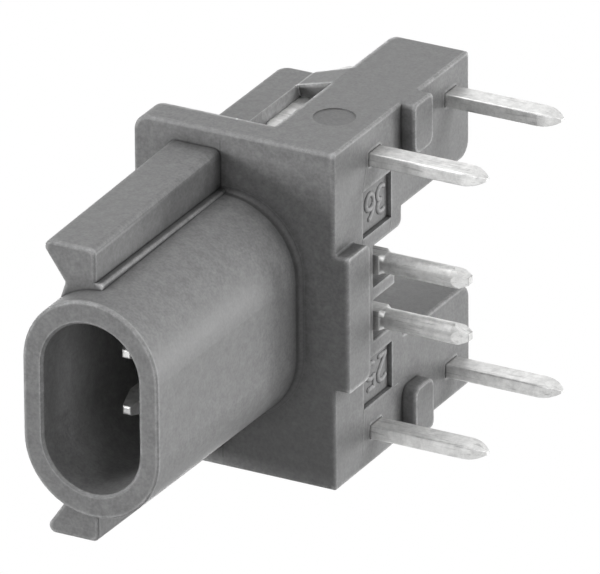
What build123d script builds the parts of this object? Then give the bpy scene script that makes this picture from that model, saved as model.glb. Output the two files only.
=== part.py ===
"""Right-angle two-contact board connector: a moulded housing, two board staples, two contacts.

The frame is in millimetres. Z = 0 is the board's face, with the housing above it and the
solder tails below. The mating nose points along -Y, and X = 0 is the mirror plane. The
origin is the middle of the front foot's seat on the board.
"""
import os
from math import radians, tan

from build123d import *

# Board layout
signal_pitch = 2.54
staple_row_gap = 6.72
signal_row_y = 3.0
staple_front_y = 2.62
staple_inset = 1.42
seat_height = 0.65

# Front foot, which carries the origin
foot_width = 6.1
foot_depth = 1.9
foot_corner = 0.4

# Flange
flange_width = 15.24
flange_height = 9.35
flange_thickness = 1.45
flange_corner = 0.75
edge_break = 0.15
board_side_break = 0.1

# Nose: an obround tube with a little draft
nose_length = 11.85
nose_radius = 3.13
nose_half_flat = 1.7
nose_wall = 0.9
nose_end_wall = 1.03
nose_draft_growth = 0.16
nose_root_fillet = 0.25
rim_break = 0.1
cavity_depth = 9.6
nose_axis_height = 5.55

# Coding keys on the nose's two round sides
key_setback = 1.2
key_reach = 1.75
key_flank_offset = 0.38
key_width = 2.6
key_draft_growth = 0.22
key_neck_width = 1.38
key_neck_reach = 0.29
key_neck_sink = 0.03
key_break = 0.3
key_front_break = 0.12
pedestal_reach = 0.27
pedestal_ledge = 0.33
pedestal_heel = 0.2
pedestal_heel_drop = 0.6
pedestal_break = 0.12

# Core block behind the flange
core_reach = 6.7
core_height = 3.27
core_top_drop = 0.55
core_corner = 0.5
core_edge_break = 0.12

# Arms
arm_reach = 10.5
arm_height = 3.5
arm_inner = 2.95
arm_front_inner = 2.12
arm_step_reach = 4.5
arm_step_radius = 0.35
arm_inner_corner = 0.7
arm_outer_corner = 0.5
arm_rear_corner = 0.15

# Standoff pads on the arms
pad_start = 4.45
pad_depth = 1.65
pad_width = 2.3
pad_corner = 0.45
pad_outer_corner = 0.25
pad_edge_break = 0.08

# Number windows in the arms' board side
window_start = 1.08
window_depth = 2.48
window_width = 2.1
window_inner = 2.83
window_recess = 0.2

# Contact slots
slot_front_wall = 2.41
web_thickness = 0.54
slot_roof_clearance = 0.1
web_reach = 4.3

# Ejector mark on the outer face of each arm
ejector_mark_radius = 0.9
ejector_mark_depth = 0.05
ejector_mark_y = 2.49
ejector_mark_height = 1.79

# Board staples: flat wire bent to a U
staple_wire_x = 0.6
staple_wire_flat = 1.02
staple_leg_below = 4.6
staple_tip_length = 0.95
staple_tip_round = 0.22
staple_wire_edge = 0.07
staple_bend_radius = 0.55
staple_base_height = 5.37
staple_clearance = 0.02
groove_floor_gap = 0.02
barb_start = 4.95
barb_length = 1.75
barb_undercut = 0.45

# Signal contacts: square wire with a round tail
contact_square = 0.86
contact_tip = 0.38
contact_tip_round = 0.1
contact_taper = 1.1
contact_setback = 3.0
contact_bend_radius = 0.5
contact_shoulder_height = 0.47
contact_collar_taper = 0.22
tail_diameter = 0.9
tail_below = 3.6
tail_tip_length = 0.7
tail_tip_width = 0.34
contact_clearance = 0.02

# Places that follow from the sizes above
front_y = -foot_depth / 2
half_width = flange_width / 2
flange_rear_y = front_y + flange_thickness
mouth_y = front_y - nose_length
face_z = seat_height
nose_z = nose_axis_height
arm_top_z = face_z + arm_height
core_top_z = arm_top_z + core_height
core_x = half_width - core_top_drop
core_rear_y = flange_rear_y + core_reach
arm_rear_y = flange_rear_y + arm_reach
nose_tip_x = nose_half_flat + nose_radius
staple_rear_y = staple_front_y + staple_row_gap
staple_x = half_width - staple_inset
contact_x = signal_pitch / 2


def block(x0, x1, y0, y1, z0, z1):
    """Box between two corners."""
    return Pos(x0, y0, z0) * Box(x1 - x0, y1 - y0, z1 - z0, align=(Align.MIN, Align.MIN, Align.MIN))


def along_y(sketch, y0, y1):
    """Extrudes an XZ sketch, drawn with Z to the right and X up, from y0 to y1."""
    plane = Plane(origin=(0, y0, 0), x_dir=(0, 0, 1), z_dir=(0, 1, 0))
    return extrude(plane * sketch, y1 - y0, dir=(0, 1, 0))


def obround(radius, half_flat):
    """Obround whose long way is X, in the axes of along_y."""
    return SlotCenterToCenter(2 * half_flat, 2 * radius, rotation=90)


def mirrored(solid):
    """The solid and its mirror image across X = 0."""
    return solid + mirror(solid, Plane.YZ)


def flange():
    """Front plate with two rounded corners away from the board."""
    plate = block(-half_width, half_width, front_y, flange_rear_y, face_z, face_z + flange_height)
    far_corners = plate.edges().filter_by(Axis.Y).group_by(Axis.Z)[-1]
    return fillet(far_corners, flange_corner)


def board_side_edges(solid):
    """Edges of the board side along the arms: the outer sides, the rear and the inner sides."""
    reach = board_side_break
    side = solid.faces().filter_by(Plane.XY).filter_by_position(Axis.Z, face_z - reach, face_z + reach)
    edges = side.edges().filter_by_position(Axis.Y, flange_rear_y, arm_rear_y, (False, True))
    inner = arm_front_inner - reach
    return edges.filter_by_position(Axis.X, -half_width, -inner) + edges.filter_by_position(Axis.X, inner, half_width)


def front_edges(solid):
    """Edges round the front face."""
    return solid.faces().sort_by(Axis.Y)[0].edges()


def nose_tube():
    """Drafted obround nose with a small break round its rim."""
    root = Plane(origin=(0, front_y, nose_z), x_dir=(0, 0, 1), z_dir=(0, -1, 0))
    tip = Plane(origin=(0, mouth_y, nose_z), x_dir=(0, 0, 1), z_dir=(0, -1, 0))
    growth = nose_draft_growth
    tube = loft([root * obround(nose_radius + growth, nose_half_flat), tip * obround(nose_radius, nose_half_flat)])
    rim = tube.edges().group_by(Axis.Y)[0]
    return fillet(rim, rim_break)


def nose_cavity():
    """Obround socket that the plug enters, with a small lead-in."""
    plane = Plane(origin=(0, mouth_y, nose_z), x_dir=(0, 0, 1), z_dir=(0, 1, 0))
    hole = obround(nose_radius - nose_wall, nose_half_flat + nose_wall - nose_end_wall)
    socket = extrude(plane * hole, cavity_depth, dir=(0, 1, 0))
    lead_in = extrude(plane * offset(hole, rim_break), rim_break, taper=45)
    return socket + lead_in


def key():
    """Half-dovetail coding key with its pedestal, on the +X side."""
    z0 = nose_z + key_flank_offset
    outer = nose_tip_x + key_reach
    ledge = nose_tip_x + pedestal_reach
    root = nose_half_flat + nose_radius / 2
    start = mouth_y + key_setback
    sections = []
    for y, top in ((start, outer), (front_y, outer + key_draft_growth)):
        dovetail = Polygon(
            (z0, root), (z0, top), (z0 + key_width, top),
            (z0 + key_neck_width, nose_tip_x - key_neck_sink), (z0 + key_neck_width, root), align=None,
        )
        dovetail = fillet(dovetail.vertices().group_by(Axis.Y)[-1], key_break)
        sections.append(Plane(origin=(0, y, 0), x_dir=(0, 0, 1), z_dir=(0, 1, 0)) * dovetail)
    bar = loft(sections, ruled=True)
    heel = z0 + key_neck_width + pedestal_heel
    pedestal = Polygon(
        (z0 - pedestal_ledge, root), (z0 - pedestal_ledge, ledge), (z0 + key_neck_width / 2, ledge),
        (z0 + key_neck_width, ledge - key_neck_reach), (heel, ledge - key_neck_reach - pedestal_heel_drop),
        (heel, root), align=None,
    )
    bar = fillet(front_edges(bar).filter_by_position(Axis.X, nose_tip_x, outer + 1), key_front_break)
    base = along_y(pedestal, start, front_y)
    ledge_edges = base.edges().filter_by(Axis.Y).group_by(Axis.X)[-1]
    return bar + fillet(ledge_edges.sort_by(Axis.Z)[0], pedestal_break)


def core():
    """Block that joins the flange, the arms and the contact slots."""
    body = block(-core_x, core_x, flange_rear_y, core_rear_y, arm_top_z, core_top_z)
    rear_top = body.edges().filter_by(Axis.X).group_by(Axis.Y)[-1].sort_by(Axis.Z)[-1]
    body = fillet(rear_top, core_corner)
    return fillet(body.edges().filter_by(Axis.Y).group_by(Axis.Z)[-1], core_edge_break)


def arm():
    """Arm along the +X side, with its deeper front part."""
    step_y = flange_rear_y + arm_step_reach
    outline = Polygon(
        (arm_front_inner, flange_rear_y), (half_width, flange_rear_y), (half_width, arm_rear_y),
        (arm_inner, arm_rear_y), (arm_inner, step_y), (arm_front_inner, step_y), align=None,
    )
    corner = outline.vertices().sort_by_distance(Vector(arm_inner, arm_rear_y))[0]
    outline = fillet(corner, arm_inner_corner)
    corner = outline.vertices().sort_by_distance(Vector(half_width, arm_rear_y))[0]
    outline = fillet(corner, arm_rear_corner)
    corner = outline.vertices().sort_by_distance(Vector(arm_front_inner, step_y))[0]
    outline = fillet(corner, arm_step_radius)
    slab = extrude(Pos(0, 0, face_z) * outline, arm_height, dir=(0, 0, 1))
    side = Polygon(
        (flange_rear_y, face_z), (arm_rear_y, face_z), (arm_rear_y, arm_top_z), (flange_rear_y, arm_top_z),
        align=None,
    )
    side = fillet(side.vertices().sort_by_distance(Vector(arm_rear_y, arm_top_z))[0], arm_outer_corner)
    plane = Plane(origin=(0, 0, 0), x_dir=(0, 1, 0), z_dir=(1, 0, 0))
    return slab & extrude(plane * side, half_width, dir=(1, 0, 0))


def centre_block():
    """Block between the arms that holds the contacts' slots."""
    side = arm_front_inner
    web = web_thickness / 2
    front = block(-side, side, flange_rear_y, slot_front_wall, face_z, arm_top_z)
    rear = block(-web, web, flange_rear_y, web_reach, face_z, arm_top_z)
    return front + rear


def pad():
    """Standoff pad on the +X arm, with its inner end rounded."""
    y0 = flange_rear_y + pad_start
    outline = Polygon(
        (half_width - pad_width, y0), (half_width, y0), (half_width, y0 + pad_depth),
        (half_width - pad_width, y0 + pad_depth), align=None,
    )
    outline = fillet(outline.vertices().group_by(Axis.X)[0], pad_corner)
    outline = fillet(outline.vertices().group_by(Axis.X)[-1], pad_outer_corner)
    stud = extrude(outline, face_z + edge_break, dir=(0, 0, 1))
    return fillet(stud.faces().sort_by(Axis.Z)[0].edges(), pad_edge_break)


def foot():
    """Front foot across the mirror plane."""
    outline = Rectangle(foot_width, foot_depth)
    outline = fillet(outline.vertices().group_by(Axis.Y)[-1], foot_corner)
    return extrude(outline, face_z + edge_break, dir=(0, 0, 1))


def window():
    """Shallow window in the +X arm's board side."""
    x0 = window_inner
    y0 = flange_rear_y + window_start
    return block(x0, x0 + window_width, y0, y0 + window_depth, face_z, face_z + window_recess)


def contact_slot():
    """Slot for the +X contact, open to the board side and to the rear."""
    y0 = slot_front_wall
    roof = nose_z + contact_square / 2 + slot_roof_clearance
    return block(web_thickness / 2, arm_front_inner, y0, core_rear_y, face_z, roof)


def contact_bore():
    """Square hole from the slot to the nose cavity for the +X contact."""
    half = contact_square / 2 + contact_clearance
    y0 = mouth_y + cavity_depth
    y1 = slot_front_wall
    return block(contact_x - half, contact_x + half, y0, y1, nose_z - half, nose_z + half)


def staple_seat():
    """Groove for the +X staple's base, and the two leg holes down to the board side."""
    floor = staple_x - staple_wire_x / 2 - groove_floor_gap
    half = staple_wire_flat / 2 + staple_clearance
    low = arm_top_z
    high = staple_base_height + half
    groove = block(floor, half_width, flange_rear_y, core_rear_y, low, high)
    half_x = staple_wire_x / 2 + staple_clearance
    holes = [
        block(staple_x - half_x, staple_x + half_x, y - half, y + half, face_z, high)
        for y in (staple_front_y, staple_rear_y)
    ]
    return groove + holes


def staple_barb():
    """Wedge over the +X staple's base, rising from the core's top to the arm's top."""
    clear = staple_x + staple_wire_x / 2 + staple_clearance
    high = staple_base_height + staple_wire_flat / 2 + staple_clearance
    section = Polygon((arm_top_z, clear), (high, clear), (high, core_x), (arm_top_z, half_width), align=None)
    y0 = flange_rear_y + barb_start
    wedge = along_y(section, y0, y0 + barb_length)
    under = Polygon((half_width, y0), (clear, y0), (clear, y0 + barb_undercut), align=None)
    return wedge - extrude(Pos(0, 0, arm_top_z) * under, high - arm_top_z, dir=(0, 0, 1))


def ejector_mark():
    """Shallow round mark in the outer face of the +X arm."""
    disc = Cylinder(ejector_mark_radius, ejector_mark_depth, align=(Align.CENTER, Align.CENTER, Align.MAX))
    place = Pos(half_width, ejector_mark_y, face_z + ejector_mark_height)
    return place * Rot(0, 90, 0) * disc


def housing():
    """The whole moulding."""
    front = flange() + foot()
    front = fillet(front_edges(front), edge_break) + nose_tube()
    root = front.faces().filter_by(Plane.XZ).group_by(Axis.Y)[1].sort_by(SortBy.AREA)[-1].inner_wires()[0]
    front = fillet(root.edges(), nose_root_fillet) + mirrored(key())
    body = front + core() + mirrored(arm()) + centre_block()
    body -= mirrored(contact_slot() + contact_bore())
    body = fillet(board_side_edges(body), board_side_break) + mirrored(pad())
    body -= nose_cavity()
    body -= mirrored(staple_seat())
    body += mirrored(staple_barb())
    body -= mirrored(window())
    return body - mirrored(ejector_mark())


def bullet_tip(width_x, width_y, height):
    """Four curved faces below Z = 0 that draw in to a small round end."""
    sections = []
    for down, share in ((0, 1), (0.3, 0.93), (0.6, 0.74), (0.85, 0.45), (1, staple_tip_round)):
        face = RectangleRounded(width_x * share, width_y * share, staple_wire_edge * share)
        sections.append(Pos(0, 0, -height * down) * face)
    return loft(sections)


def staple():
    """U of flat wire: base along Y over the core, a leg at each end."""
    half = staple_wire_flat / 2
    high = staple_base_height + half
    low = staple_base_height - half
    tip_z = -staple_leg_below + staple_tip_length
    y0 = staple_front_y - half
    y1 = staple_rear_y + half
    outline = Polygon((y0, tip_z), (y0, high), (y1, high), (y1, tip_z), align=None)
    outline = fillet(outline.vertices().group_by(Axis.Y)[-1], staple_bend_radius + staple_wire_flat / 2)
    opening = Polygon(
        (y0 + staple_wire_flat, tip_z), (y0 + staple_wire_flat, low),
        (y1 - staple_wire_flat, low), (y1 - staple_wire_flat, tip_z), align=None,
    )
    opening = fillet(opening.vertices().group_by(Axis.Y)[-1], staple_clearance + edge_break)
    plane = Plane(origin=(staple_x - staple_wire_x / 2, 0, 0), x_dir=(0, 1, 0), z_dir=(1, 0, 0))
    wire = extrude(plane * (outline - opening), staple_wire_x, dir=(1, 0, 0))
    sides = wire.faces().filter_by(Axis.X).edges()
    wire = fillet([e for e in sides if e.center().Z > tip_z + staple_clearance], staple_wire_edge)
    for y in (staple_front_y, staple_rear_y):
        wire += Pos(staple_x, y, tip_z) * bullet_tip(staple_wire_x, staple_wire_flat, staple_tip_length)
    return wire


def four_sided_point(height):
    """Square column from Z = 0 up, drawn in to a blunt point at its foot."""
    across = 2 * tail_diameter
    slope = (tail_diameter - tail_tip_width) / tail_tip_length
    column = block(-across, across, -across, across, 0, height)
    low = Rectangle(tail_tip_width, tail_tip_width)
    wide = tail_tip_width + slope * 2 * tail_tip_length
    point = loft([low, Pos(0, 0, 2 * tail_tip_length) * Rectangle(wide, wide)])
    return point + (column - block(-across, across, -across, across, 0, 2 * tail_tip_length))


def signal_contact():
    """Square wire from the nose cavity, bent down, with a round tail through the board."""
    half = contact_square / 2
    tip_y = mouth_y + contact_setback
    taper_end = tip_y + contact_taper
    shoulder_z = contact_shoulder_height
    outline = Polygon(
        (taper_end, nose_z + half), (signal_row_y + half, nose_z + half), (signal_row_y + half, shoulder_z),
        (signal_row_y - half, shoulder_z), (signal_row_y - half, nose_z - half), (taper_end, nose_z - half),
        align=None,
    )
    outer = outline.vertices().sort_by_distance(Vector(signal_row_y + half, nose_z + half))[0]
    outline = fillet(outer, contact_bend_radius + half)
    inner = outline.vertices().sort_by_distance(Vector(signal_row_y - half, nose_z - half))[0]
    outline = fillet(inner, edge_break)
    plane = Plane(origin=(contact_x - half, 0, 0), x_dir=(0, 1, 0), z_dir=(1, 0, 0))
    wire = extrude(plane * outline, contact_square, dir=(1, 0, 0))
    front = Plane(origin=(contact_x, taper_end, nose_z), x_dir=(1, 0, 0), z_dir=(0, -1, 0))
    end = front.offset(contact_taper)
    point = loft([front * Rectangle(contact_square, contact_square), end * Rectangle(contact_tip, contact_tip)])
    wire += fillet(front_edges(point), contact_tip_round)
    tail_end = -tail_below
    collar_z = shoulder_z - contact_collar_taper
    collar = loft([
        Pos(contact_x, signal_row_y, shoulder_z) * Rectangle(contact_square, contact_square),
        Pos(contact_x, signal_row_y, collar_z) * Circle(tail_diameter / 2),
    ])
    tail = Cylinder(tail_diameter / 2, collar_z - tail_end, align=(Align.CENTER, Align.CENTER, Align.MIN))
    tail &= four_sided_point(collar_z - tail_end)
    return wire + collar + Pos(contact_x, signal_row_y, tail_end) * tail


def build():
    """Every sub-part by its node's name."""
    right_staple = staple()
    right_contact = signal_contact()
    return {
        "housing": housing(),
        "board_staple_right": right_staple,
        "board_staple_left": mirror(right_staple, Plane.YZ),
        "signal_contact_right": right_contact,
        "signal_contact_left": mirror(right_contact, Plane.YZ),
    }


os.makedirs("parts", exist_ok=True)
for name, solid in build().items():
    export_step(solid, f"parts/{name}.step")
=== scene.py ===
"""Look of a right-angle board connector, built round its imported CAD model."""

import bpy
import numpy as np
from mathutils import Matrix, Vector


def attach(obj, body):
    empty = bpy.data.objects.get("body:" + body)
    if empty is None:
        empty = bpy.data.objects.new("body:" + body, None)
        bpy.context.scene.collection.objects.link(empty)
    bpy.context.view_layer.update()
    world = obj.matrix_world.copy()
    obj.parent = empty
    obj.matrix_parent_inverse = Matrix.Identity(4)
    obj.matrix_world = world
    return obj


bl_info = {
    "name": "Right-angle board connector",
    "version": (1, 0, 0),
    "blender": (4, 5, 0),
    "location": "View3D > Sidebar > Connector",
    "description": "Finishes, cavity numbers and witness lines for a keyed two-contact connector",
    "category": "Object",
}

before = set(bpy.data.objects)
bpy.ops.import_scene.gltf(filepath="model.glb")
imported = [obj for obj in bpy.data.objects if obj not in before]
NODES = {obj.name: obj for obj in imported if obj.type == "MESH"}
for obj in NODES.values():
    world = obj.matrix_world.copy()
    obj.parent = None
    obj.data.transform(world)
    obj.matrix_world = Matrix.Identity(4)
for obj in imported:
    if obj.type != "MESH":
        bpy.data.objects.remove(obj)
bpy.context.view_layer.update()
STAPLES = ("board_staple_right", "board_staple_left")
CONTACTS = ("signal_contact_right", "signal_contact_left")

MM = 0.001

# The housing's board side and the depth of its windows
BOARD_SIDE_Z = 0.65 * MM
RECESS = 0.2 * MM
TOWARDS_BOARD = np.array([0, 0, -1.0])

# The ejector marks: (Y, Z) of the middle, radius, share of it with full tone, and least |X|
MARK_PLACE = (2.49 * MM, 2.44 * MM)
MARK_RADIUS = 0.9 * MM
MARK_FLAT = 0.97
MARK_SIDE = 7.5 * MM

# Boxes in millimetres, used with their mirror images across X = 0, that get a tone of their own:
# painted shade, painted light, or less of the painted shade and highlights
GROOVE = ((5.8, 0.4, 4.8), (7.7, 7.3, 5.95))
GROOVE_WALL = ((5.8, 0.4, 5.85), (7.7, 7.3, 5.95))
GROOVE_LIP = ((6.8, 0.6, 5.8), (7.2, 5.6, 6.2))
EJECTOR_MARK = ((7.5, 1.5, 1.4), (7.7, 3.5, 3.5))
WINDOW_FLOOR = ((2.8, 1.5, 0.8), (5.0, 4.1, 0.9))
WINDOW_RIM = ((2.6, 1.4, 0.6), (5.1, 4.3, 0.75))
WEB_RIM = ((0.0, 0.9, 0.5), (2.2, 5.8, 0.75))
FOOT_REAR_EDGE = ((0.0, 0.7, -0.1), (3.5, 1.1, 0.3))
KEY_FLANK = ((4.9, -12.0, 5.9), (7.2, -0.9, 5.97))
NOSE_ROOT = ((-0.1, -1.3, 1.9), (5.3, -0.955, 9.2))
TAIL_SIDES = ((0.5, 2.6, -2.85), (2.0, 4.9, 0.3))
TAIL_ENDS = ((0.5, 2.0, -4.2), (2.0, 5.5, -3.57))

# Boxes in which a mask of painted shade or painted highlight is weaker, with the share of it that
# is taken away
LESS_CREVICE_SHADE = ((GROOVE_WALL, 1.0), (WINDOW_FLOOR, 0.6), (EJECTOR_MARK, 0.8))
LESS_GAP_SHADE = ((GROOVE, 1.0), (EJECTOR_MARK, 1.0))
SOFT_EDGE_HIGHLIGHTS = (
    (GROOVE_LIP, 1.0),
    (EJECTOR_MARK, 1.0),
    (WINDOW_RIM, 0.6),
    (FOOT_REAR_EDGE, 0.6),
    (WEB_RIM, 0.5),
)

# Middles of the numbers, as (X, Y) in millimetres
RIGHT_NUMBER_PLACE = (3.86, 3.0)
LEFT_NUMBER_PLACE = (-3.82, 3.0)

# A digit's width and the gap to the next, as shares of its height
DIGIT_WIDTH = 0.6
DIGIT_GAP = 0.26

# Ends of the insert lines on the board side, as (X, Y) in millimetres
WITNESS_LINES = (
    ((-4.98, 1.55), (-4.98, 4.6)),
    ((-4.93, 1.58), (-7.0, 1.5)),
    ((4.93, 1.58), (5.9, 1.9)),
    ((2.83, 4.06), (2.2, 3.95)),
    ((2.83, 1.58), (2.12, 1.58)),
)

# Points round a rib, along its round end, on an arc, on a digit's straight run and on a line
RIB_SIDES = 16
END_POINTS = 7
ARC_POINTS = 25
RUN_POINTS = 9
LINE_POINTS = 12

# Square of a rib's scale at its very ends, above 0 so that no section shrinks to a point
SMALLEST_END = 1e-4

# Noise features per metre
HIGHLIGHT_BREAK_SCALE = 2400
SPECK_SCALE = 8000
GRAIN_SCALE = 9000
CLOUD_SCALE = 2600
STREAK_SCALE = 7000
SCRATCH_SCALE = 9000

# How far noise coordinates are squeezed, so that marks run along a wire
EVEN = (1, 1, 1)
ALONG_STAPLE = (1, 1, 0.06)
ALONG_CONTACT = (1, 1, 0.08)

# Values of a noise, an openness or a normal's part between which a mask or a colour runs
BLOTCH_SPAN = (0.3, 0.7)
SPECK_SPAN = (0.35, 0.65)
HIGHLIGHT_BREAK_SPAN = (0.35, 0.6)
CLOUD_SPAN = (0.35, 0.65)
STREAK_SPAN = (0.3, 0.44)
ROUGHNESS_SPAN = (0.3, 0.7)
CREVICE_SHADE_SPAN = (0.45, 0.96)
GAP_SHADE_SPAN = (0.45, 0.85)
EDGE_HIGHLIGHT_SPAN = (0.55, 0.88)
REAR_SHADE_SPAN = (0.5, 0.75)
DOWN_SHADE_SPAN = (-0.4, -0.15)
MARK_SPAN = (MARK_FLAT * MARK_RADIUS, MARK_RADIUS)

# Share of the painted highlight on the edges that is left where its uneven noise is least
LEAST_EDGE_HIGHLIGHT = 0.4

# Rays for each look at how open a point is
OPENNESS_SAMPLES = 8

# How far the roughness varies below and above its setting
PLASTIC_SPREAD = (0.05, 0.06)
TIN_SPREAD = (0.08, 0.1)

# Bumps as strength and height
BLOTCH_BUMP = (0.25, 0.01 * MM)
GRAIN_BUMP = (0.35, 0.006 * MM)
CLOUD_BUMP = (0.25, 0.02 * MM)
SCRATCH_BUMP = (0.25, 0.008 * MM)

# Reflection of the plastic and of the tin, and the tin's brightness in its clouds
PLASTIC_SPECULAR = 0.45
TIN_METALLIC = 0.85
CLOUD_TONE = 0.75

# The camera, from a fit of the housing's edges
CAMERA_PLACE = Vector((242.8894, -460.4774, -246.2712)) * MM
CAMERA_RIGHT = Vector((-0.00664, 0.47299, -0.88104))
CAMERA_UP = Vector((0.90766, 0.37259, 0.19319))
CAMERA_LENS = 840.0
SENSOR_WIDTH = 36.0
CLIP_NEAR = 0.05
CLIP_FAR = 50.0

# Lamps: name, point it shines on, direction it stands in, distance, size and power's setting
MIDDLE = Vector((0, 0, 4)) * MM
MOUTH = Vector((0, -7.8, 5.55)) * MM
LAMPS = (
    ("top_lamp", MIDDLE, (0.9, -0.1, 0.3), 0.5, 0.25, "top_power"),
    ("front_lamp", MIDDLE, (0.13, -0.8, 0.6), 0.5, 0.12, "front_power"),
    ("board_lamp", MIDDLE, (0.56, 0.32, -0.76), 0.5, 0.25, "board_power"),
    ("rear_lamp", MIDDLE, (-0.12, 0.74, -0.66), 0.5, 0.15, "rear_power"),
    ("back_lamp", MIDDLE, (0.42, 0.8, 0.44), 0.5, 0.3, "back_power"),
    ("fill_lamp", MIDDLE, (-0.5, 0.7, 0.5), 0.5, 0.3, "fill_power"),
    ("mouth_lamp", MOUTH, (0, -1, 0), 0.004, 0.003, "mouth_power"),
    ("near_lamp", MIDDLE, (0.19, -0.76, -0.62), 0.042, 0.012, "near_power"),
)

# The floor is far below, because the camera looks up at the board side
FLOOR_HALF = 4.0
FLOOR_LEVEL = -0.8
FLOOR_ROUGHNESS = 0.9


# Mesh helpers

def grid_faces(rows, columns):
    """Quads over a rows by columns grid whose columns close on themselves."""
    r, c = np.meshgrid(np.arange(rows - 1), np.arange(columns), indexing="ij")
    n = (c + 1) % columns
    corners = (r * columns + c, r * columns + n, (r + 1) * columns + n, (r + 1) * columns + c)
    return np.stack(corners, -1).reshape(-1, 4)


def make_piece(name, parts, material):
    """One mesh object from (vertices, faces) arrays, riding on the housing's body."""
    vertices = []
    faces = []
    count = 0
    for points, quads in parts:
        vertices.append(points)
        faces.append(quads + count)
        count += len(points)
    mesh = bpy.data.meshes.new(name)
    mesh.from_pydata(np.concatenate(vertices).tolist(), [], np.concatenate(faces).tolist())
    mesh.validate()
    mesh.shade_smooth()
    mesh.materials.append(material)
    piece = bpy.data.objects.new(name, mesh)
    bpy.context.scene.collection.objects.link(piece)
    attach(piece, "root")
    return piece


def rib(path, normal, width, height):
    """Ridge along a path of different points that lies on a flat face.

    At distance s along the path the section is an ellipse with half axes width / 2 across the
    face and height along its normal, so the lower half is sunk. Both axes shrink near each end
    as the square root of 1 - (1 - s / r) squared, with r = width / 2, which gives round ends.
    """
    steps = np.linalg.norm(np.diff(path, axis=0), axis=1)
    s = np.concatenate([[0], np.cumsum(steps)])
    r = width / 2
    end = r * (1 - np.cos(np.linspace(0, np.pi / 2, END_POINTS)))
    inner = s[(s > r) & (s < s[-1] - r)]
    at = np.concatenate([end, inner, s[-1] - end[::-1]])
    points = np.stack([np.interp(at, s, path[:, k]) for k in range(3)], -1)
    tangent = np.gradient(points, at, axis=0)
    across = np.cross(tangent, normal)
    across /= np.linalg.norm(across, axis=1)[:, None]
    near = np.minimum(np.minimum(at, s[-1] - at) / r, 1)
    size = np.sqrt(np.clip(1 - (1 - near) ** 2, SMALLEST_END, 1))
    turn = np.linspace(0, 2 * np.pi, RIB_SIDES, endpoint=False)
    offset = (r * np.cos(turn)[None, :, None] * across[:, None, :]
              + height * np.sin(turn)[None, :, None] * normal[None, None, :])
    surface = points[:, None, :] + size[:, None, None] * offset
    return surface.reshape(-1, 3), grid_faces(len(at), RIB_SIDES)


# Digits, in a cell one unit wide and two units high

def arc(centre, radii, start, stop):
    """Points of an elliptical arc: centre + radii * (cos t, sin t), with t from start to stop."""
    t = np.radians(np.linspace(start, stop, ARC_POINTS))
    return np.stack([centre[0] + radii[0] * np.cos(t), centre[1] + radii[1] * np.sin(t)], -1)


def line(*corners):
    """Straight runs through the corners, with points close enough for the rib."""
    corners = np.asarray(corners, float)
    pairs = zip(corners[:-1], corners[1:])
    runs = [np.linspace(start, stop, RUN_POINTS)[:-1] for start, stop in pairs]
    return np.concatenate(runs + [corners[-1:]])


def digit_stroke(digit):
    """Points of one digit, which is drawn in one stroke."""
    runs = {
        "2": (
            arc((0.5, 1.5), (0.5, 0.5), 170, -35),
            line((0.87, 1.15), (0, 0), (1, 0)),
        ),
        "3": (
            arc((0.48, 1.52), (0.46, 0.48), 150, -90),
            arc((0.48, 0.52), (0.52, 0.52), 85, -150),
        ),
        "5": (
            line((0.95, 2), (0.1, 2), (0.05, 1.1)),
            arc((0.47, 0.62), (0.53, 0.62), 125, -145),
        ),
        "6": (
            arc((0.9, 0.7), (0.9, 1.3), 100, 180),
            arc((0.5, 0.6), (0.5, 0.6), 180, 530),
        ),
    }
    return np.concatenate(runs[digit])


def number_ribs(text, centre, settings):
    """Ribs of a number on the window's floor, read along -Y with its top towards -X."""
    half = settings.height / 2
    wide = settings.height * DIGIT_WIDTH
    gap = settings.height * DIGIT_GAP
    total = len(text) * wide + (len(text) - 1) * gap
    floor_z = BOARD_SIDE_Z + RECESS
    parts = []
    for i, digit in enumerate(text):
        stroke = digit_stroke(digit)
        start = centre[1] * MM + total / 2 - i * (wide + gap)
        x = centre[0] * MM + half - stroke[:, 1] * half
        y = start - stroke[:, 0] * wide
        path = np.stack([x, y, np.full(len(x), floor_z)], -1)
        parts.append(rib(path, TOWARDS_BOARD, settings.stroke, settings.relief))
    return parts


def line_ribs(settings):
    """Ribs of the insert lines on the board side."""
    parts = []
    for start, stop in WITNESS_LINES:
        flat = np.linspace(start, stop, LINE_POINTS) * MM
        path = np.column_stack([flat, np.full(len(flat), BOARD_SIDE_Z)])
        parts.append(rib(path, TOWARDS_BOARD, settings.width, settings.relief))
    return parts


# Shader nodes

def node_tree(name):
    """New material with a cleared node tree, its output and a principled shader."""
    material = bpy.data.materials.new(name)
    material.use_nodes = True
    tree = material.node_tree
    tree.nodes.clear()
    out = tree.nodes.new("ShaderNodeOutputMaterial")
    shader = tree.nodes.new("ShaderNodeBsdfPrincipled")
    tree.links.new(shader.outputs["BSDF"], out.inputs["Surface"])
    return material, tree, shader


def object_noise(tree, stretch, scale, detail, roughness=0.5):
    """Noise over Object coordinates, with the coordinates multiplied by stretch first."""
    coords = tree.nodes.new("ShaderNodeTexCoord")
    mapping = tree.nodes.new("ShaderNodeMapping")
    mapping.inputs["Scale"].default_value = stretch
    noise = tree.nodes.new("ShaderNodeTexNoise")
    noise.inputs["Scale"].default_value = scale
    noise.inputs["Detail"].default_value = detail
    noise.inputs["Roughness"].default_value = roughness
    tree.links.new(coords.outputs["Object"], mapping.inputs["Vector"])
    tree.links.new(mapping.outputs["Vector"], noise.inputs["Vector"])
    return noise.outputs["Fac"]


def coordinate_parts(tree, kind):
    """X, Y and Z of the Object coordinates or of the Normal."""
    coords = tree.nodes.new("ShaderNodeTexCoord")
    parts = tree.nodes.new("ShaderNodeSeparateXYZ")
    tree.links.new(coords.outputs[kind], parts.inputs["Vector"])
    return parts.outputs


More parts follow.
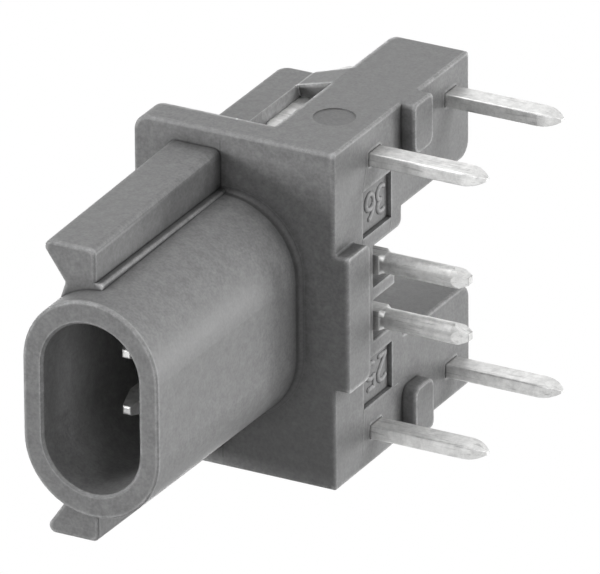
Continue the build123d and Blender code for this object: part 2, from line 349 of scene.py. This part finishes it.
def ramp(tree, factor, low, high, limits):
    """Colour that runs from low to high between two limits of the factor."""
    node = tree.nodes.new("ShaderNodeValToRGB")
    for element, position, colour in zip(node.color_ramp.elements, limits, (low, high)):
        element.position = position
        element.color = (*colour, 1)
    tree.links.new(factor, node.inputs["Fac"])
    return node.outputs["Color"]


def span(tree, factor, low, high, limits):
    """Number that runs from low to high between two limits of the factor."""
    start, stop = limits
    node = tree.nodes.new("ShaderNodeMapRange")
    for key, value in (("From Min", start), ("From Max", stop), ("To Min", low), ("To Max", high)):
        node.inputs[key].default_value = value
    tree.links.new(factor, node.inputs["Value"])
    return node.outputs["Result"]


def bump(tree, shader, height, size, under=None):
    """Bump on the shader's normal, over another bump where one is given."""
    strength, distance = size
    node = tree.nodes.new("ShaderNodeBump")
    node.inputs["Strength"].default_value = strength
    node.inputs["Distance"].default_value = distance
    tree.links.new(height, node.inputs["Height"])
    if under:
        tree.links.new(under, node.inputs["Normal"])
    tree.links.new(node.outputs["Normal"], shader.inputs["Normal"])
    return node.outputs["Normal"]


def maths(tree, operation, *values):
    """Math node over sockets or numbers."""
    node = tree.nodes.new("ShaderNodeMath")
    node.operation = operation
    for i, value in enumerate(values):
        if isinstance(value, (int, float)):
            node.inputs[i].default_value = value
        else:
            tree.links.new(value, node.inputs[i])
    return node.outputs["Value"]


def scaled(tree, colour, mask, factor):
    """Colour times a factor where the mask is 1, and unchanged where it is 0."""
    node = tree.nodes.new("ShaderNodeVectorMath")
    node.operation = "SCALE"
    tree.links.new(colour, node.inputs[0])
    amount = maths(tree, "MULTIPLY_ADD", mask, factor - 1, 1.0)
    tree.links.new(amount, node.inputs["Scale"])
    return node.outputs["Vector"]


def set_roughness(tree, shader, factor, roughness, spread):
    """Roughness that varies with the factor round a middle value."""
    below, above = spread
    varied = span(tree, factor, roughness - below, roughness + above, ROUGHNESS_SPAN)
    tree.links.new(varied, shader.inputs["Roughness"])


# Masks, most of them for painted shade and painted highlights

def openness(tree, size, inside):
    """Share of the directions off a face, or into the solid, that are free to a distance."""
    node = tree.nodes.new("ShaderNodeAmbientOcclusion")
    node.inside = inside
    node.only_local = inside
    node.samples = OPENNESS_SAMPLES
    node.inputs["Distance"].default_value = size
    return node.outputs["AO"]


def box_mask(tree, low, high):
    """1 inside a box and its mirror image across X = 0, with corners in millimetres."""
    parts = coordinate_parts(tree, "Object")
    mask = 1.0
    for axis, lowest, highest in zip("XYZ", low, high):
        value = parts[axis]
        if axis == "X":
            value = maths(tree, "ABSOLUTE", value)
        mask = maths(tree, "MULTIPLY", mask, maths(tree, "GREATER_THAN", value, lowest * MM))
        mask = maths(tree, "MULTIPLY", mask, maths(tree, "LESS_THAN", value, highest * MM))
    return mask


def eased(tree, mask, places):
    """The mask less a share of it in each listed box."""
    for (low, high), loss in places:
        kept = maths(tree, "MULTIPLY_ADD", box_mask(tree, low, high), -loss, 1.0)
        mask = maths(tree, "MULTIPLY", mask, kept)
    return mask


def rear_shade_masks(tree):
    """Two masks for painted shade on tin facing the rear lamp: 1 where a surface faces the rear,
    and 1 where it faces the rear and down.
    """
    parts = coordinate_parts(tree, "Normal")
    rear = span(tree, parts["Y"], 0.0, 1.0, REAR_SHADE_SPAN)
    down = span(tree, parts["Z"], 1.0, 0.0, DOWN_SHADE_SPAN)
    return rear, maths(tree, "MULTIPLY", rear, down)


def crevice_shade_mask(tree, size):
    """Painted shade: 1 in the inner corners, where little light comes, less in the groove and the
    windows.
    """
    mask = span(tree, openness(tree, size, False), 1.0, 0.0, CREVICE_SHADE_SPAN)
    return eased(tree, mask, LESS_CREVICE_SHADE)


def gap_shade_mask(tree, size):
    """Painted shade: 1 in the narrow gaps where a wire leaves its hole, and 0 a little way off."""
    mask = span(tree, openness(tree, size, False), 1.0, 0.0, GAP_SHADE_SPAN)
    return eased(tree, mask, LESS_GAP_SHADE)


def edge_highlight_mask(tree, size):
    """Painted highlight on convex edges: 1 where the solid just inside is thin, unevenly, and 0 on
    flat faces.
    """
    edges = span(tree, openness(tree, size, True), 1.0, 0.0, EDGE_HIGHLIGHT_SPAN)
    noise = object_noise(tree, EVEN, HIGHLIGHT_BREAK_SCALE, detail=4, roughness=0.6)
    highlight_breaks = span(tree, noise, LEAST_EDGE_HIGHLIGHT, 1.0, HIGHLIGHT_BREAK_SPAN)
    return eased(tree, maths(tree, "MULTIPLY", edges, highlight_breaks), SOFT_EDGE_HIGHLIGHTS)


def ejector_mask(tree):
    """1 in the round ejector mark on each arm's outer face, whose steel was left rough."""
    parts = coordinate_parts(tree, "Object")
    y = maths(tree, "SUBTRACT", parts["Y"], MARK_PLACE[0])
    z = maths(tree, "SUBTRACT", parts["Z"], MARK_PLACE[1])
    reach = maths(tree, "SQRT", maths(tree, "MULTIPLY_ADD", y, y, maths(tree, "MULTIPLY", z, z)))
    within = span(tree, reach, 1.0, 0.0, MARK_SPAN)
    outside = maths(tree, "GREATER_THAN", maths(tree, "ABSOLUTE", parts["X"]), MARK_SIDE)
    return maths(tree, "MULTIPLY", within, outside)


# Materials

def moulded_plastic(name, settings, edge_highlight_lift):
    """Grey filled plastic: blotches of fibre and filler, satin surface, fine spark-eroded grain."""
    material, tree, shader = node_tree(name)
    blotches = object_noise(tree, EVEN, 1 / settings.blotch_size, detail=4, roughness=0.6)
    dark = [c * (1 - settings.mottling) for c in settings.colour]
    light = [c * (1 + settings.mottling) for c in settings.colour]
    colour = ramp(tree, blotches, dark, light, BLOTCH_SPAN)
    noise = object_noise(tree, EVEN, SPECK_SCALE, detail=3, roughness=0.6)
    # Painted shade in the inner corners, at the nose's root, on the keys' undercut flanks and in
    # the gaps round the wires; painted light on the groove's wall and painted highlights on the
    # convex edges; the specks and the ejector marks are the plastic's own tone
    for mask, factor in (
        (span(tree, noise, 0.0, 1.0, SPECK_SPAN), 1 - settings.speckling),
        (crevice_shade_mask(tree, settings.crevice_shade_size), settings.crevice_shade_tone),
        (box_mask(tree, *NOSE_ROOT), settings.root_shade_tone),
        (box_mask(tree, *GROOVE_WALL), settings.groove_wall_light_lift),
        (box_mask(tree, *KEY_FLANK), settings.flank_shade_tone),
        (edge_highlight_mask(tree, settings.edge_highlight_size), edge_highlight_lift),
        (gap_shade_mask(tree, settings.gap_shade_size), settings.gap_shade_tone),
        (ejector_mask(tree), settings.mark_tone),
    ):
        colour = scaled(tree, colour, mask, factor)
    tree.links.new(colour, shader.inputs["Base Color"])
    set_roughness(tree, shader, blotches, settings.roughness, PLASTIC_SPREAD)
    shader.inputs["Specular IOR Level"].default_value = PLASTIC_SPECULAR
    under = bump(tree, shader, blotches, BLOTCH_BUMP)
    bump(tree, shader, object_noise(tree, EVEN, GRAIN_SCALE, detail=2), GRAIN_BUMP, under)
    return material


def tinned_metal(name, settings, lengthways):
    """Bright tin over drawn wire: cloudy brightness and fine scratches along the wire."""
    material, tree, shader = node_tree(name)
    clouds = object_noise(tree, EVEN, CLOUD_SCALE, detail=5, roughness=0.7)
    dark = [c * CLOUD_TONE for c in settings.colour]
    colour = ramp(tree, clouds, dark, settings.colour, CLOUD_SPAN)
    noise = object_noise(tree, lengthways, STREAK_SCALE, detail=4, roughness=0.7)
    rear, rear_and_down = rear_shade_masks(tree)
    # Painted light on the staple's base in its groove and on the tails' sides; painted shade on the
    # tails' cut ends, on tin facing the rear and in the gaps round the wires; the streaks are the
    # tin's own marks
    for mask, factor in (
        (span(tree, noise, 1.0, 0.0, STREAK_SPAN), 1 - settings.streaking),
        (box_mask(tree, *GROOVE), settings.base_light_lift),
        (box_mask(tree, *TAIL_SIDES), settings.side_light_lift),
        (box_mask(tree, *TAIL_ENDS), settings.end_shade_tone),
        (rear, settings.rear_shade_tone),
        (rear_and_down, settings.rear_shade_tone),
        (gap_shade_mask(tree, settings.gap_shade_size), settings.gap_shade_tone),
    ):
        colour = scaled(tree, colour, mask, factor)
    tree.links.new(colour, shader.inputs["Base Color"])
    scratches = object_noise(tree, lengthways, SCRATCH_SCALE, detail=5, roughness=0.65)
    set_roughness(tree, shader, scratches, settings.roughness, TIN_SPREAD)
    shader.inputs["Metallic"].default_value = TIN_METALLIC
    under = bump(tree, shader, clouds, CLOUD_BUMP)
    bump(tree, shader, scratches, SCRATCH_BUMP, under)
    return material


def set_material(node, material):
    """Puts one material in all of a node's slots."""
    if not node.material_slots:
        node.data.materials.append(material)
    for slot in node.material_slots:
        slot.material = material


# Stage

def camera_ray_mix(tree, plain, white):
    """Mixes a surface with white for camera, glossy and transmission rays."""
    rays = tree.nodes.new("ShaderNodeLightPath").outputs
    seen = maths(tree, "MAXIMUM", rays["Is Camera Ray"], rays["Is Glossy Ray"])
    seen = maths(tree, "MAXIMUM", seen, rays["Is Transmission Ray"])
    mix = tree.nodes.new("ShaderNodeMixShader")
    tree.links.new(seen, mix.inputs["Fac"])
    tree.links.new(plain, mix.inputs[1])
    tree.links.new(white, mix.inputs[2])
    return mix.outputs["Shader"]


def set_world(settings):
    """Even light all round, and plain white where the camera or a reflection looks past."""
    world = bpy.data.worlds.new("studio_world")
    bpy.context.scene.world = world
    world.use_nodes = True
    tree = world.node_tree
    tree.nodes.clear()
    out = tree.nodes.new("ShaderNodeOutputWorld")
    light = tree.nodes.new("ShaderNodeBackground")
    light.inputs["Strength"].default_value = settings.ambient
    light.inputs["Color"].default_value = (1, 1, 1, 1)
    white = tree.nodes.new("ShaderNodeBackground")
    white.inputs["Strength"].default_value = 1.0
    white.inputs["Color"].default_value = (1, 1, 1, 1)
    mixed = camera_ray_mix(tree, light.outputs["Background"], white.outputs["Background"])
    tree.links.new(mixed, out.inputs["Surface"])


def add_floor(settings):
    """Wide pale floor, well below the object."""
    mesh = bpy.data.meshes.new("studio_floor")
    signs = ((-1, -1), (1, -1), (1, 1), (-1, 1))
    corners = [(FLOOR_HALF * x, FLOOR_HALF * y, FLOOR_LEVEL) for x, y in signs]
    mesh.from_pydata(corners, [], [(0, 1, 2, 3)])
    floor = bpy.data.objects.new("studio_floor", mesh)
    bpy.context.scene.collection.objects.link(floor)
    material, tree, shader = node_tree("studio_floor_paint")
    shader.inputs["Base Color"].default_value = (*settings.floor_colour, 1)
    shader.inputs["Roughness"].default_value = FLOOR_ROUGHNESS
    white = tree.nodes.new("ShaderNodeEmission")
    mixed = camera_ray_mix(tree, shader.outputs["BSDF"], white.outputs["Emission"])
    tree.links.new(mixed, tree.nodes["Material Output"].inputs["Surface"])
    mesh.materials.append(material)


def add_lamp(name, target, direction, distance, size, power):
    """Square area lamp that shines on the target from a direction."""
    lamp = bpy.data.lights.new(name, "AREA")
    lamp.energy = power
    lamp.size = size
    holder = bpy.data.objects.new(name, lamp)
    bpy.context.scene.collection.objects.link(holder)
    away = Vector(direction).normalized()
    holder.location = target + away * distance
    holder.rotation_mode = "QUATERNION"
    holder.rotation_quaternion = away.to_track_quat("Z", "Y")
    holder.visible_camera = False


def add_camera():
    """Long lens at the fitted place and turn."""
    data = bpy.data.cameras.new("camera")
    data.lens = CAMERA_LENS
    data.sensor_width = SENSOR_WIDTH
    data.clip_start = CLIP_NEAR
    data.clip_end = CLIP_FAR
    camera = bpy.data.objects.new("camera", data)
    bpy.context.scene.collection.objects.link(camera)
    right = CAMERA_RIGHT.normalized()
    back = right.cross(CAMERA_UP).normalized()
    up = back.cross(right)
    turn = Matrix((right, up, back)).transposed().to_4x4()
    camera.matrix_world = Matrix.Translation(CAMERA_PLACE) @ turn
    bpy.context.scene.camera = camera


# Settings

def share(name, description, default):
    """Setting that is a share of the whole."""
    return bpy.props.FloatProperty(
        name=name, description=description, default=default, subtype="FACTOR")


def lift(name, description, default):
    """Setting that multiplies a brightness."""
    return bpy.props.FloatProperty(name=name, description=description, default=default)


def metres(name, description, default):
    """Setting that is a length in metres."""
    return bpy.props.FloatProperty(
        name=name, description=description, default=default, unit="LENGTH", precision=6)


def watts(name, description, default):
    """Setting that is a lamp's power in watts."""
    return bpy.props.FloatProperty(
        name=name, description=description, default=default, unit="POWER", precision=6)


def tint(name, description, default):
    """Setting that is a colour."""
    return bpy.props.FloatVectorProperty(
        name=name, description=description, default=default, size=3, subtype="COLOR")


class ConnectorPlastic(bpy.types.PropertyGroup):
    colour: tint("Colour", "Grey of the moulding", (0.32, 0.32, 0.322))
    roughness: share("Roughness", "Roughness of the moulded surface", 0.5)
    mottling: share("Mottling", "How far the grey varies", 0.14)
    blotch_size: metres("Blotch size", "Size of the mottling", 0.00045)
    speckling: share("Speckling", "How much darker the fine specks are", 0.2)
    # Painted shade in the inner corners
    crevice_shade_size: metres("Crevice size", "Reach of the darker inner corners", 0.0009)
    crevice_shade_tone: share("Crevice tone", "Share of the grey left in inner corners", 0.45)
    # Painted shade in the gaps round the wires
    gap_shade_size: metres("Gap size", "Reach of the dark line round the wires", 0.00014)
    gap_shade_tone: share("Gap tone", "Share of the grey left beside the wires", 0.3)
    # Painted highlights on the convex edges: their width, and their strength on the housing and on
    # the digits and lines
    edge_highlight_size: metres("Edge size", "Width of the paler edges", 0.00026)
    edge_highlight_lift: lift("Edge lift", "How much paler the edges are", 3.0)
    relief_highlight_lift: lift("Relief lift", "How much paler the digits and the lines are", 1.7)
    # Painted light on the wall of the staple's groove, which lies in shade
    groove_wall_light_lift: lift("Groove lift", "How much paler the wall of the staple's groove is", 1.9)
    # Painted shade on the keys' undercut flanks, which face down
    flank_shade_tone: share("Flank tone", "Share of the grey left on the keys' undercut flanks", 0.78)
    # Painted shade in the fillet at the nose's root
    root_shade_tone: share("Root tone", "Share of the grey left in the fillet at the nose's root", 0.6)
    mark_tone: share("Mark tone", "Share of the grey left in the ejector marks", 0.78)


class ConnectorMetal(bpy.types.PropertyGroup):
    colour: tint("Colour", "Colour of the tinned wire", (0.86, 0.86, 0.852))
    roughness: share("Roughness", "Roughness of the tin", 0.47)
    streaking: share("Streaking", "How much darker the streaks along the wire are", 0.4)
    # Painted light on the staple's base in its groove, which lies in shade
    base_light_lift: lift("Base lift", "How much brighter the staple's base is", 1.18)
    # Painted light on the round tails' sides
    side_light_lift: lift("Side lift", "How much brighter the round tails' sides are", 1.16)
    # Painted shade on the tails' cut ends, which dims the lamp's gleam there
    end_shade_tone: share("End tone", "Share of the brightness left on the tails' cut ends", 0.7)
    # Painted shade on tin that faces the rear lamp
    rear_shade_tone: share("Rear tone", "Share of the brightness left where the tin faces the rear", 0.7)
    # Painted shade on the tin where a wire leaves its hole
    gap_shade_size: metres("Gap size", "Reach of the dark line where a wire leaves its hole", 0.00014)
    gap_shade_tone: share("Gap tone", "Share of the tin's brightness left there", 0.4)


class ConnectorNumbers(bpy.types.PropertyGroup):
    right_text: bpy.props.StringProperty(
        name="Right number", description="Digits in the right arm's window, of 2, 3, 5 and 6",
        default="36")
    left_text: bpy.props.StringProperty(
        name="Left number", description="Digits in the left arm's window, of 2, 3, 5 and 6",
        default="25")
    height: metres("Height", "Height of a digit", 0.00115)
    stroke: metres("Stroke", "Width of a digit's stroke", 0.00024)
    relief: metres("Relief", "Height of the digits above the window's floor", 0.00008)


class ConnectorLines(bpy.types.PropertyGroup):
    width: metres("Width", "Width of a witness line", 0.00006)
    relief: metres("Relief", "How far a witness line stands proud", 0.000012)


class ConnectorStage(bpy.types.PropertyGroup):
    top_power: watts("Top power", "Lamp over the right arm", 0.68)
    front_power: watts("Front power", "Small lamp before the flange", 1.13)
    board_power: watts("Board side power", "Lamp on the board side", 0.84)
    rear_power: watts("Rear power", "Low lamp behind, whose gleam lies along the nose", 0.75)
    back_power: watts("Back power", "High lamp behind, whose gleam lies on the wires", 0.1)
    fill_power: watts("Fill power", "Lamp for the side away from the board", 1.0)
    mouth_power: watts("Mouth power", "Faint lamp in the nose's mouth", 0.000011)
    near_power: watts("Near power", "Near lamp before the mouth", 0.002)
    ambient: share("Ambient", "Strength of the even light from all round", 0.04)
    floor_colour: tint("Floor colour", "Colour of the floor", (0.9, 0.9, 0.9))


# Operators

class OBJECT_OT_connector_housing(bpy.types.Operator):
    """Makes the grey plastic and gives it to the moulded housing"""
    bl_idname = "object.connector_housing"
    bl_label = "Finish the housing"

    def execute(self, context):
        settings = context.scene.connector_plastic
        body = moulded_plastic("moulded_grey_plastic", settings, settings.edge_highlight_lift)
        set_material(NODES["housing"], body)
        moulded_plastic("moulded_relief_plastic", settings, settings.relief_highlight_lift)
        return {"FINISHED"}


class OBJECT_OT_connector_wires(bpy.types.Operator):
    """Gives the staples and the contacts their tinned finish"""
    bl_idname = "object.connector_wires"
    bl_label = "Finish the wires"

    def execute(self, context):
        settings = context.scene.connector_metal
        flat = tinned_metal("tinned_flat_wire", settings, ALONG_STAPLE)
        for name in STAPLES:
            set_material(NODES[name], flat)
        square = tinned_metal("tinned_contact_wire", settings, ALONG_CONTACT)
        for name in CONTACTS:
            set_material(NODES[name], square)
        return {"FINISHED"}


class OBJECT_OT_connector_numbers(bpy.types.Operator):
    """Raises a plain number in each arm's window"""
    bl_idname = "object.connector_numbers"
    bl_label = "Add the numbers"

    def execute(self, context):
        settings = context.scene.connector_numbers
        material = bpy.data.materials["moulded_relief_plastic"]
        for name, text, centre in (
            ("cavity_number_right", settings.right_text, RIGHT_NUMBER_PLACE),
            ("cavity_number_left", settings.left_text, LEFT_NUMBER_PLACE),
        ):
            make_piece(name, number_ribs(text, centre, settings), material)
        return {"FINISHED"}


class OBJECT_OT_connector_lines(bpy.types.Operator):
    """Adds the faint lines that the mould's inserts leave on the board side"""
    bl_idname = "object.connector_lines"
    bl_label = "Add the witness lines"

    def execute(self, context):
        ribs = line_ribs(context.scene.connector_lines)
        material = bpy.data.materials["moulded_relief_plastic"]
        make_piece("insert_witness_lines", ribs, material)
        return {"FINISHED"}


class OBJECT_OT_connector_stage(bpy.types.Operator):
    """Sets up the floor, the background, the lamps and the camera"""
    bl_idname = "object.connector_stage"
    bl_label = "Set the stage"

    def execute(self, context):
        settings = context.scene.connector_stage
        add_floor(settings)
        set_world(settings)
        for name, target, direction, distance, size, key in LAMPS:
            add_lamp(name, target, direction, distance, size, getattr(settings, key))
        add_camera()
        context.scene.view_settings.view_transform = "Standard"
        return {"FINISHED"}


class VIEW3D_PT_connector(bpy.types.Panel):
    """Lists the connector's settings and steps"""
    bl_idname = "VIEW3D_PT_connector"
    bl_label = "Board connector"
    bl_space_type = "VIEW_3D"
    bl_region_type = "UI"
    bl_category = "Connector"

    def draw(self, context):
        for group in GROUPS:
            box = self.layout.box()
            settings = getattr(context.scene, group)
            for key in settings.__annotations__:
                box.prop(settings, key)
        for operator in OPERATORS:
            self.layout.operator(operator.bl_idname)


GROUPS = {
    "connector_plastic": ConnectorPlastic,
    "connector_metal": ConnectorMetal,
    "connector_numbers": ConnectorNumbers,
    "connector_lines": ConnectorLines,
    "connector_stage": ConnectorStage,
}
OPERATORS = (
    OBJECT_OT_connector_housing,
    OBJECT_OT_connector_wires,
    OBJECT_OT_connector_numbers,
    OBJECT_OT_connector_lines,
    OBJECT_OT_connector_stage,
)


def register():
    """Registers the settings, operators and panel."""
    for name, group in GROUPS.items():
        bpy.utils.register_class(group)
        setattr(bpy.types.Scene, name, bpy.props.PointerProperty(type=group))
    for operator in OPERATORS:
        bpy.utils.register_class(operator)
    bpy.utils.register_class(VIEW3D_PT_connector)


def unregister():
    """Removes the settings, operators and panel."""
    bpy.utils.unregister_class(VIEW3D_PT_connector)
    for operator in reversed(OPERATORS):
        bpy.utils.unregister_class(operator)
    for name, group in reversed(GROUPS.items()):
        delattr(bpy.types.Scene, name)
        bpy.utils.unregister_class(group)


def main():
    """Builds everything in order."""
    register()
    bpy.ops.object.connector_housing()
    bpy.ops.object.connector_wires()
    bpy.ops.object.connector_numbers()
    bpy.ops.object.connector_lines()
    bpy.ops.object.connector_stage()


if __name__ == "__main__":
    main()
